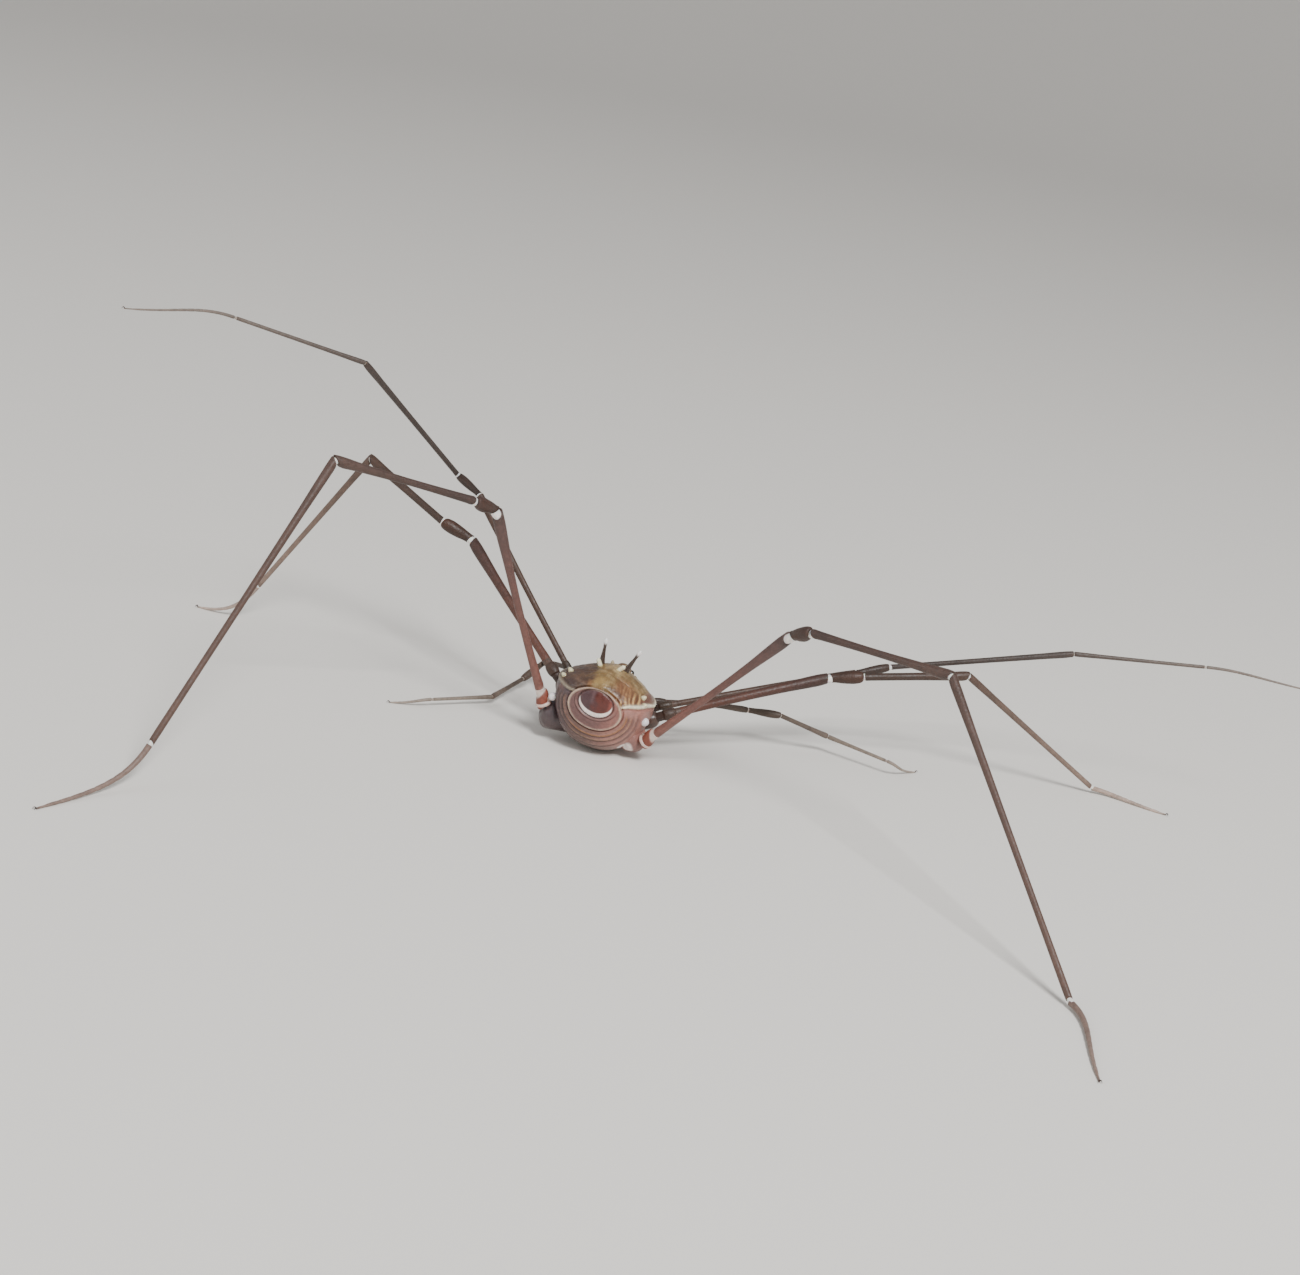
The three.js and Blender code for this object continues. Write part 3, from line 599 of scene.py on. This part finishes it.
# Each segment's compass angle from +X and its rise, in degrees. A tarsus that lies down needs no rise
STANCE = {
    "left_1": ((130.2, -14.9), (248, -22), (258, -5), (225, -0.5), (205,)),
    "left_2": ((158.2, 43.7), (154, 17.5), (241.2, 40.7), (216.3, 14.1), (229.5, 2.4)),
    "left_3": ((151.6, 32.7), (191.5, 23.1), (163.5, 21.3), (185.3, -57.5), (176,)),
    "left_4": ((205.8, 68.6), (245.3, 21.8), (223.8, 13.8), (-111.7, -52.2), (-112.9,)),
    "right_1": ((31.4, -2.2), (9.1, 1.5), (31.9, -19.8), (-12.3, -4.1), (44.7,)),
    "right_2": ((29.8, 14.3), (30.4, 14.4), (15.7, 13.8), (12.2, 4.6), (5.8, -0.9)),
    "right_3": ((31.3, 16.9), (17.7, 10.5), (23.1, 7.4), (25.8, -34.1), (-6,)),
    "right_4": ((-18.2, 48.8), (-46.3, 24.9), (-22.8, 3.8), (-44.6, -40.5), (-73.2,)),
}
TROCHANTER_LENGTH = 1.05
NECK_INSERT = 0.32  # how far the neck reaches into the trochanter
HIP_SLANT = 0.3  # how far the hind trochanters' ends are slanted, longer above than below
FEMUR_GAP = 0.12
FEMUR_BOW = np.array([0.224, 0.0, 0.168])  # out and up, in the middle
OUTER_REACH = 0.12  # how far segments reach into the joint gap outside a bend
INNER_REACH = 0.03  # and inside it, before their bare skin
IN_LINE = 0.1  # headings that differ by less than this count as one line
TARSUS_SPAN = 0.97  # share of a tarsus's length that its bent path spans
LYING_HEIGHT = 0.86  # height of a lying tarsus's axis, in radii
TIP_HEIGHT = 0.06
CLAW_LENGTH = 0.42
CLAW_RADIUS = 0.045
# Rows of share of the length and share of the radius
TROCHANTER_PROFILE = [(0, 0.6), (0.12, 0.86), (0.4, 1.0), (0.72, 0.98), (0.92, 0.86), (1, 0.76)]
TARSUS_PROFILE = [(0, 1.0), (0.1, 0.95), (0.5, 0.8), (0.9, 0.55), (1, 0.3)]
# The same for femur, patella, tibia and metatarsus, with the number of rings and the hind pair's waist
SEGMENTS = [
    ([(0, 0.78), (0.03, 0.84), (0.1, 0.8), (0.35, 0.8), (0.7, 0.9), (0.93, 1.08), (1, 0.98)], 110, 0.22),
    ([(0, 0.72), (0.12, 0.72), (0.4, 0.9), (0.72, 1.0), (0.9, 0.92), (1, 0.78)], 60, 0.0),
    ([(0, 0.9), (0.05, 0.86), (0.5, 0.88), (0.85, 1.0), (0.96, 1.1), (1, 0.98)], 110, 0.22),
    ([(0, 1.05), (0.03, 1.1), (0.2, 0.95), (0.7, 0.8), (0.97, 0.78), (1, 0.74)], 110, 0.1),
]
# Rings of another colour: share of the length, width, colour and strength
HIND_RIMS = [(0.0, 0.06, "#c9ada2", 0.7), (1.0, 0.05, "#dfcabf", 0.8)]
HIND_FEMUR_RIM = (0.0, 0.012, "#ead9cf", 0.8)
DARK_END = (1.0, 0.03, "#3f2d25", 0.45)
DARK_TIP = (1.0, 0.03, "#3a2b24", 0.6)

# Soft, moist skin of the joints: cream white, with light in its depth and a wet highlight
joint_skin = cuticle("joint_skin", 0.32, 0.06, 0.14, 0.012, depth=0.3, coat=0.3)
# Hard, waxy leg cuticle with fine granules that draw the highlight out into a broken line
leg_cuticle = cuticle("leg_cuticle", 0.54, 0.2, 0.13, 0.03, depth=0.08, coat=0.04)


def unit(vector):
    """A vector made 1 long."""
    return vector / np.linalg.norm(vector)


def square_part(vector, along):
    """What a vector has square to a unit vector: v - a (v . a)."""
    return vector - along * (vector @ along)


def heading(compass, rise=0.0):
    """The unit vector at a compass angle from +X and a rise, both in degrees."""
    a, b = np.radians([compass, rise])
    return np.array([np.cos(b) * np.cos(a), np.cos(b) * np.sin(a), np.sin(b)])


def inner_side(before, after, along):
    """Unit vector square to along that points into the bend between two headings, or down if they're in
    line."""
    into = after - before
    if np.linalg.norm(into) < IN_LINE:
        into = np.array([0.0, 0.0, -1.0])
    return unit(square_part(into, along))


def half_bend(before, after):
    """Tangent of half the angle between two headings: sqrt((1 - cos) / (1 + cos))."""
    cos = np.clip(before @ after, -1, 1)
    return np.sqrt((1 - cos) / (1 + cos))


def bend_cut(at_end, before, after, along, radius, bare):
    """The cut of a segment at a bend, as cut_aslant takes it: back by radius * tangent of half the bend
    inside, with the bare skin on top, and out by as much outside, so that two segments make a mitre."""
    miter = radius * half_bend(before, after)
    inside, outside = miter + bare - INNER_REACH, -miter - OUTER_REACH
    return at_end, inner_side(before, after, along), (inside - outside) / 2, (inside + outside) / 2


def cut_aslant(rings, path, radius, at_end, inside, slope, shift):
    """Slides a tube's points along it near one end, away from the joint: by shift + slope cos, where cos is
    1 on the side named inside and -1 opposite, faded out over 2.6 radii."""
    end, beyond = (path[-1], path[-2]) if at_end else (path[0], path[1])
    fade = 1 - ramp(np.linalg.norm(path - end, axis=1), 0, 2.6 * radius)
    cos = (rings - path[:, None]) @ inside / radius
    return rings + ((shift + slope * cos) * fade[:, None])[..., None] * unit(beyond - end)


def rounded(share, length, radius):
    """Factor that rounds the rims of a tube: sqrt(1 - 0.3 n^2), where n grows from 0 to 1 over the last fifth
    of a radius."""
    n = 1 - np.clip(np.minimum(share, 1 - share) * length / (0.2 * radius), 0, 1)
    return np.sqrt(1 - 0.3 * n**2)


def straight(start, way, near, far, count):
    """Points in a row: start + way * t, with t from near to far."""
    return start + way * np.linspace(near, far, count)[:, None]


def leg_tube(path, radii, colours, sides=26, cuts=(), marks=(), seed=41):
    """A closed tube about a path, tinted from its first colour to its last. Cuts slant its ends, and marks
    are rings of another colour."""
    share = np.linspace(0, 1, len(path))
    reach = np.linalg.norm(np.diff(path, axis=0), axis=1).cumsum()
    share[1:] = reach / reach[-1]
    rings = limb_rings(path, radii, sides)
    first, last = linear(colours[0]), linear(colours[-1])
    tints = first + (last - first) * share[:, None, None]
    for at, width, colour, strength in marks:
        tints = paint(tints, (colour, strength * ridge(share - at, width)[:, None]))
    tints = tints * (1 + 0.12 * ripple(rings, 1.3, seed) + 0.08 * ripple(rings, 0.35, seed + 1))[..., None]
    for cut in cuts:
        rings = cut_aslant(rings, path, radii.max(), *cut)
    return closed_tube(rings * MM, tints)


def hip_tubes(pair, socket, joint, way, femur_radius):
    """Hard and soft tubes of a trochanter, a knob along way with its neck before it and skin after it, and
    where it ends. The hind one is slanted, and has pale rims and a collar of skin that bulges by
    sqrt(1 - 0.9 t^2), with t from -1 to 1."""
    share_of_femur, reach_back, colour, neck_colour, skin_colour = HIPS[pair]
    radius = share_of_femur * femur_radius
    start = joint - way * reach_back
    end = start + way * TROCHANTER_LENGTH
    share = capped(0, 1, 34)
    radii = radius * profile(TROCHANTER_PROFILE, share) * rounded(share, TROCHANTER_LENGTH, radius)
    path = start + way * TROCHANTER_LENGTH * share[:, None]
    neck_path = socket + (start + way * NECK_INSERT - socket) * np.linspace(0, 1, 16)[:, None]
    neck = leg_tube(neck_path, np.full(16, radius * 0.8), (neck_colour,))
    skin = leg_tube(straight(end, way, -0.3, 0.35, 14), np.full(14, femur_radius * 0.84), (skin_colour,))
    if pair < 4:
        return [leg_tube(path, radii, (colour,), 32), neck, skin], [], end
    down = inner_side(way, way, way)
    cuts = [(True, down, HIP_SLANT, 0.0), (False, down, -0.25, 0.0)]
    knob = leg_tube(path, radii, (colour,), 32, cuts, HIND_RIMS)
    bulge = 0.36 * np.sqrt(1 - 0.9 * np.linspace(-1, 1, 12) ** 2)
    collar = leg_tube(straight(start, way, 0.06, 0.38, 12), radius * (0.75 + bulge), ("#dbbfb5",), 32)
    return [knob], [neck, collar, skin], end


def segment_tube(pair, number, side, start, end, cuts):
    """Femur, patella, tibia or metatarsus between two points, by its profile. The femora bow by FEMUR_BOW
    times sin(pi share), and the hind segments are slimmer in the middle by their waist times that."""
    table, count, waist = SEGMENTS[number]
    radius = LEG_RADII[pair][number]
    share = capped(0, 1, count)
    arch = np.sin(np.pi * share)
    radii = radius * profile(table, share) * rounded(share, np.linalg.norm(end - start), radius)
    path = start + (end - start) * share[:, None]
    marks = [DARK_END]
    if number == 0:
        path = path + square_part(FEMUR_BOW * (side, 1, 1), unit(end - start)) * arch[:, None]
    if pair == 4:
        radii = radii * (1 - waist * arch)
        marks += [HIND_FEMUR_RIM] if number == 0 else []
    return leg_tube(path, radii, LEG_COLOURS[pair][number], 28, cuts, marks, 40 + 3 * number + 10 * pair)


def tarsus_path(leg, pair, joint, before, length, radius):
    """A cubic Bezier from the joint, on along the metatarsus, and down to the tip, which lies on the floor
    at the reach sqrt(span^2 - fall^2), or hangs free on a feeler. It also gives the tip's heading."""
    start = joint + before * JOINT_GAP / 2
    ahead = heading(*STANCE[leg][4])
    span = TARSUS_SPAN * length
    if pair == 2:
        tip = joint + ahead * span
    else:
        tip = joint + ahead * np.sqrt(span**2 - (joint[2] - LYING_HEIGHT * radius) ** 2)
        tip[2] = TIP_HEIGHT
    tip = tip - ahead * CLAW_LENGTH / 2
    lead = start + before * 0.3 * length
    lie = tip - ahead * 0.45 * length
    if pair != 2:
        lead[2] = max(lead[2], radius)
        lie[2] = radius
    t = np.linspace(0, 1, 120)[:, None]
    return (1 - t) ** 3 * start + 3 * (1 - t) ** 2 * t * lead + 3 * (1 - t) * t**2 * lie + t**3 * tip, ahead


def tarsus_tubes(path, ahead, pair):
    """The tarsus, with fine rings where it's slimmer, and its claws, two on the third and fourth pair, which
    arch by sin(pi s). None of them goes below the floor."""
    t = np.linspace(0, 1, len(path))
    radii = LEG_RADII[pair][4] * np.interp(t, *np.transpose(TARSUS_PROFILE))
    radii *= 1 - 0.12 * ridge(((t * 11) % 1) - 0.5, 0.12) * ramp(t, 0.25, 0.35)
    path[:, 2] = np.maximum(path[:, 2], radii)
    tubes = [leg_tube(path, radii, LEG_COLOURS[pair][4], 18, (), [DARK_TIP])]
    s = np.linspace(0, 1, 14)[:, None]
    claw_radii = CLAW_RADIUS * (1 - 0.75 * s[:, 0])
    for spread in ((-0.5, 0.5) if pair > 2 else (0.0,)):
        aside = np.cross(ahead, (0, 0, 1)) * spread
        claw = path[-1] + (ahead + aside) * CLAW_LENGTH * 0.5 * s + (0, 0, 0.12) * np.sin(np.pi * s)
        claw[:, 2] = np.maximum(claw[:, 2], claw_radii)
        tubes.append(leg_tube(claw, claw_radii, ("#3a2b24", "#1f1713"), 8))
    return tubes


def bend_skin(at, before, after, thick, bare, colour):
    """Skin of a joint: a tube through it with the corner rounded by sqrt(s^2 + 0.04) - 0.2, with s from -1 to
    1, which swells towards the inner side by e^-(s / 0.45)^2."""
    s = np.linspace(-1, 1, 26)[:, None]
    corner = np.sqrt(s**2 + 0.04) - 0.2
    path = at + (after * (corner + s) - before * (corner - s)) * (1.5 * thick + bare) / 2
    swell = ridge(s, 0.45)
    into = inner_side(before, after, unit(before + after))
    path = path + into * thick * (0.12 + 1.2 * np.clip(bare, 0, 0.25)) * swell
    return leg_tube(path, thick * (0.72 + 0.08 * swell[:, 0]), (colour,), 24)


for side_word, side in (("left", -1), ("right", 1)):
    for pair, pair_word in enumerate(("first", "second", "third", "fourth"), 1):
        leg = f"{side_word}_{pair}"
        lengths, radii, bare = LEG_LENGTHS[pair], LEG_RADII[pair], BARE_SKIN[pair]
        inner, hip = (np.array(place) * (side, 1, 1) for place in COXAE[pair][:2])
        out = unit(hip - inner)
        steps = [heading(*angles) for angles in STANCE[leg]]
        joints = [settle(hip + out * HIP_GAP) / MM]
        for way, length in zip(steps[:4], lengths):
            joints.append(joints[-1] + way * length)

        socket = settle(hip - out * SOCKET_DEPTH) / MM
        hard, soft, hip_end = hip_tubes(pair, socket, joints[0], steps[0], radii[0])
        for i in range(4):
            start = joints[i] + steps[i] * JOINT_GAP / 2 if i else hip_end + steps[0] * FEMUR_GAP
            end = joints[i + 1] - steps[i] * JOINT_GAP / 2
            cuts = [bend_cut(True, steps[i], steps[i + 1], steps[i], radii[i], bare[i])]
            if i > 0:
                cuts.insert(0, bend_cut(False, steps[i - 1], steps[i], steps[i], radii[i], bare[i - 1]))
            elif pair == 4:
                cuts.insert(0, (False, inner_side(steps[0], steps[0], steps[0]), -HIP_SLANT, 0.0))
            hard.append(segment_tube(pair, i, side, start, end, cuts))
        path, ahead = tarsus_path(leg, pair, joints[4], steps[3], lengths[4], radii[4])
        steps[4] = unit(path[1] - path[0])
        hard += tarsus_tubes(path, ahead, pair)
        for i in range(4):
            colour = "#f4eee8" if i < WHITE_JOINTS[pair] else "#a8998d"
            thick = min(radii[i], radii[i + 1])
            soft.append(bend_skin(joints[i + 1], steps[i], steps[i + 1], thick, bare[i], colour))

        nodes = [f"{segment}_{leg}" for segment in ("femur", "patella", "tibia", "metatarsus", "tarsus")]
        make_piece(f"leg_{leg}", hard, leg_cuticle, f"legs_{pair_word}", *nodes)
        make_piece(f"joint_skin_{leg}", soft, joint_skin, "joint_skin")

# Mouth parts
# Two flat palps are folded in front of the head, with a pair of small pincers between them.
# They're thin, glossy cuticle, paler at the bends.
# Bends of each one on the right, and its radius there, in mm
MOUTH = {
    "chelicera": (
        [(0.45, 4.0, 3.7), (0.5, 4.85, 3.65), (0.42, 5.05, 2.85), (0.3, 4.95, 2.2)],
        (0.26, 0.34, 0.32, 0.1),
    ),
    "palp": (
        [(1.1, 3.7, 2.7), (1.25, 4.5, 3.2), (1.15, 5.35, 2.95), (1.0, 5.65, 2.3), (0.75, 5.6, 1.8)],
        (0.24, 0.32, 0.36, 0.28, 0.1),
    ),
}
MOUTH_WAIST = 0.2  # how much slimmer they are at a bend, as a share
BEND_WIDTH = 0.12  # in shares of the way from bend to bend

for part, (bends, part_radii) in MOUTH.items():
    for side_word, side in (("left", -1), ("right", 1)):
        place = np.linspace(0, len(bends) - 1, 90)
        path = rows_at(np.array(bends) * (side, 1, 1), place)
        at_bend = ridge(place - np.round(place), BEND_WIDTH)
        widths = rows_at(np.array(part_radii)[:, None], place)[:, 0] * (1 - MOUTH_WAIST * at_bend)
        widths *= np.sqrt(np.clip(np.minimum(place, place[::-1]) / BEND_WIDTH, 0.08, 1))
        rings = limb_rings(path, widths, 28)
        tints = paint(
            linear("#6b4f3a"),
            ("#b49c78", 0.6 * at_bend[:, None]),
            ("#3f2c20", 0.4 * ripple(rings, 0.7, 60)),
        )
        tube = closed_tube(settle(rings), tints)
        make_piece(f"{part}_{side_word}_shell", [tube], leg_cuticle, "mouthparts", f"{part}_{side_word}")

# Studio
# A pale paper floor that curves up all round like a bowl, one broad key lamp, one fill lamp, and the
# camera behind the animal and above it. The floor's sizes are in metres.
STAGE_FLAT = 0.6
STAGE_RISE = 0.5
STAGE_SIDES = 96
curve = np.linspace(0, np.pi / 2, 24)[1:, None]
flat = np.linspace(0.02, STAGE_FLAT, 12)[:, None]
turn = np.linspace(0, 2 * np.pi, STAGE_SIDES, endpoint=False)
reach = np.vstack([flat, STAGE_FLAT + STAGE_RISE * np.sin(curve)])
height = np.vstack([0 * flat, STAGE_RISE * (1 - np.cos(curve))])
grid = np.stack([reach * np.cos(turn), reach * np.sin(turn), height + 0 * turn], -1)
a = np.arange(grid.shape[0] * STAGE_SIDES).reshape(-1, STAGE_SIDES)
b = np.roll(a, -1, 1)
faces = np.stack([a[:-1], a[1:], b[1:], b[:-1]], -1).reshape(-1, 4).tolist() + [a[0].tolist()]
mesh = bpy.data.meshes.new("studio_floor")
mesh.from_pydata(grid.reshape(-1, 3).tolist(), [], faces)
mesh.shade_smooth()
floor = bpy.data.objects.new("studio_floor", mesh)
bpy.context.scene.collection.objects.link(floor)
# Matt photographic background paper: no highlight, only soft shade
studio_paper = bpy.data.materials.new("studio_paper")
studio_paper.use_nodes = True
paper = studio_paper.node_tree.nodes["Principled BSDF"]
paper.inputs["Base Color"].default_value = (*linear("#f0ede7"), 1)
paper.inputs["Roughness"].default_value = 0.9
mesh.materials.append(studio_paper)

world = bpy.data.worlds.new("studio_air")
bpy.context.scene.world = world
world.use_nodes = True
air = world.node_tree.nodes["Background"]
air.inputs["Color"].default_value = (*linear("#f2f2f4"), 1)
air.inputs["Strength"].default_value = 0.48


def softbox(name, at, size, power):
    """A square lamp in metres and watts, turned to face the animal."""
    data = bpy.data.lights.new(name, "AREA")
    data.size = size
    data.energy = power
    lamp = bpy.data.objects.new(name, data)
    lamp.location = at
    lamp.rotation_euler = (-Vector(at)).to_track_quat("-Z", "Y").to_euler()
    bpy.context.scene.collection.objects.link(lamp)


softbox("key_light", (0.2, -0.24, 0.36), 0.12, 2.2)
softbox("fill_light", (-0.35, -0.2, 0.22), 0.3, 0.45)

# Camera angles in degrees: to the animal's right, above the floor, and rolled; place in mm from the body
CAMERA_SIDE, CAMERA_RISE, CAMERA_ROLL = np.radians([12.5, 18.0, 10.0])
CAMERA_AT = np.array([35.57, -150.4, 58.83])
across = np.array([np.cos(CAMERA_SIDE), np.sin(CAMERA_SIDE), 0])
ahead = np.array([-np.sin(CAMERA_SIDE), np.cos(CAMERA_SIDE), 0])
view = ahead * np.cos(CAMERA_RISE) - np.array([0, 0, np.sin(CAMERA_RISE)])
above = np.cross(across, view)
right = across * np.cos(CAMERA_ROLL) + above * np.sin(CAMERA_ROLL)
up = above * np.cos(CAMERA_ROLL) - across * np.sin(CAMERA_ROLL)
lens = bpy.data.cameras.new("camera")
lens.lens = 62
lens.sensor_width = 36
lens.clip_start = 0.005
lens.clip_end = 10
camera = bpy.data.objects.new("camera", lens)
turned = Matrix(np.column_stack([right, up, -view]).tolist()).to_4x4()
camera.matrix_world = Matrix.Translation(((CAMERA_AT + BODY_AT) * MM).tolist()) @ turned
bpy.context.scene.collection.objects.link(camera)
bpy.context.scene.camera = camera
